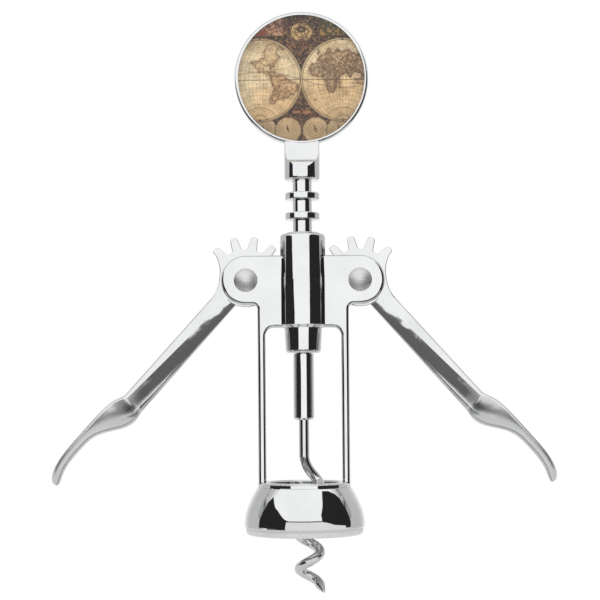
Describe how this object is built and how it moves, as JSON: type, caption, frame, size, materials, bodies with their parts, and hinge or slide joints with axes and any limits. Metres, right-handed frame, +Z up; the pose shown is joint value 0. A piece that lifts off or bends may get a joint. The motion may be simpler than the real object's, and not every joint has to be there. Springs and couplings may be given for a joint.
{
  "type": "lever corkscrew",
  "caption": "Wing corkscrew with a bell that sits on the bottle, geared side levers, a ringed rack, a wire worm and a round picture handle.",
  "frame": {"origin": "on the tool's axis, in the plane of the seat inside the bell that a bottle's lip meets", "axes": "+Z up the tool's axis towards the round handle, +X to the right-hand lever, +Y away from the picture's side"},
  "size_m": [0.1506, 0.036, 0.1741],
  "materials": {
    "plated_casting": "polished chrome plate on die-cast zinc",
    "plated_levers": "polished chrome plate on die-cast zinc",
    "plated_rivets": "chrome plate on a steel rivet",
    "plated_rack": "bright chrome plate on turned steel",
    "plated_worm": "chrome plate on drawn steel wire",
    "guide_plastic": "pale translucent plastic, satin",
    "picture_print": "printed card with an old map of two half globes",
    "adhesive": "white double-sided pad",
    "clear_lens": "clear resin dome, glossy"
  },
  "bodies": {
    "frame": {"frame_casting": "plated_casting", "bottle_guide": "guide_plastic", "left_rivet": "plated_rivets", "right_rivet": "plated_rivets"},
    "left_lever": {"left_lever": "plated_levers"},
    "right_lever": {"right_lever": "plated_levers"},
    "collar": {"guide_collar": "plated_rack"},
    "screw": {"head_casting": "plated_casting", "rack_shaft": "plated_rack", "worm_ferrule": "plated_rack", "worm": "plated_worm", "picture_disc": "picture_print", "picture_adhesive": "adhesive", "picture_lens": "clear_lens"}
  },
  "joints": [
    {"name": "left_lever_hinge", "type": "hinge", "parent": "frame", "child": "left_lever", "pos_m": [-0.0171, 0, 0.0659], "axis": [0, 1, 0], "range_deg": [-41.8, 118]},
    {"name": "right_lever_hinge", "type": "hinge", "parent": "frame", "child": "right_lever", "pos_m": [0.0171, 0, 0.0659], "axis": [0, -1, 0], "range_deg": [-41.8, 118]},
    {"name": "rack_slide", "type": "slide", "parent": "frame", "child": "collar", "axis": [0, 0, 1], "range_m": [-0.02522, 0.00895]},
    {"name": "screw_spin", "type": "hinge", "parent": "collar", "child": "screw", "pos_m": [0, 0, 0], "axis": [0, 0, 1], "continuous": true}
  ],
  "couplings": [
    {"joint": "right_lever_hinge", "follows": "left_lever_hinge", "ratio": 1},
    {"joint": "rack_slide", "follows": "left_lever_hinge", "m_per_rad": -0.012234}
  ]
}
